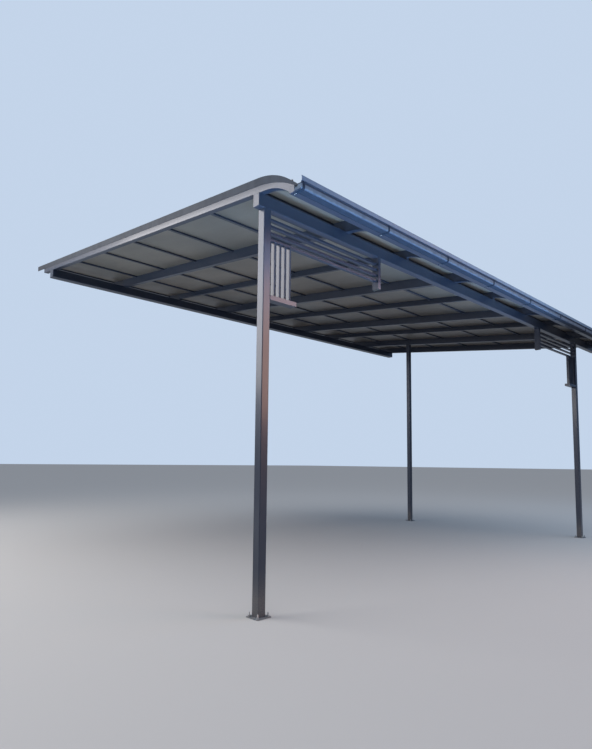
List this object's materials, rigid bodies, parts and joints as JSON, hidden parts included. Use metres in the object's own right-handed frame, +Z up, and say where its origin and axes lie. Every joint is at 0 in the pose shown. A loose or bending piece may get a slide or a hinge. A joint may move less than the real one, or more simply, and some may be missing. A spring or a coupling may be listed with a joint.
{
  "type": "carport",
  "caption": "Lean-to carport: steel posts and beams carry rafters with curved noses, purlins, clear sheets, an eave gutter and ladder brackets.",
  "frame": {"origin": "centre of the underside of the front left base plate", "axes": "+X along the eave to the right, +Y back under the roof towards the wall, +Z up"},
  "size_m": [8.56, 6.034, 4.3441],
  "materials": {
    "frame_paint": "semi-gloss graphite grey paint",
    "roof_sheet": "smoky translucent sheet",
    "flashing": "satin grey coated sheet steel",
    "gutter": "satin slate grey coated sheet steel",
    "base_plate": "semi-gloss grey paint, slightly worn"
  },
  "bodies": {
    "root": {"base_plate_front_left": "base_plate", "base_plate_front_right": "base_plate", "base_plate_back_right": "base_plate", "post_front_left": "frame_paint", "post_front_right": "frame_paint", "post_back_right": "frame_paint", "front_beam": "frame_paint", "rear_beam": "frame_paint", "rafter_stubs": "frame_paint", "eave_rail": "frame_paint", "sheet_joint_covers": "flashing", "edge_flashing_left": "flashing", "edge_flashing_right": "flashing", "gutter": "gutter", "gutter_end_caps": "gutter", "gutter_brackets": "gutter", "rafter_1": "frame_paint", "rafter_2": "frame_paint", "rafter_3": "frame_paint", "rafter_4": "frame_paint", "rafter_5": "frame_paint", "rafter_6": "frame_paint", "rafter_7": "frame_paint", "rafter_8": "frame_paint", "rafter_9": "frame_paint", "purlin_row_1": "frame_paint", "purlin_row_2": "frame_paint", "purlin_row_3": "frame_paint", "purlin_row_4": "frame_paint", "purlin_row_5": "frame_paint", "purlin_row_6": "frame_paint", "tail_purlin_row": "frame_paint", "roof_sheet_1": "roof_sheet", "roof_sheet_2": "roof_sheet", "roof_sheet_3": "roof_sheet", "roof_sheet_4": "roof_sheet", "ladder_left_long_bars": "frame_paint", "ladder_left_end_bar": "frame_paint", "ladder_left_drop_bars": "frame_paint", "ladder_left_foot_bar": "frame_paint", "ladder_right_long_bars": "frame_paint", "ladder_right_end_bar": "frame_paint", "ladder_right_drop_bars": "frame_paint", "ladder_right_foot_bar": "frame_paint"}
  },
  "joints": []
}
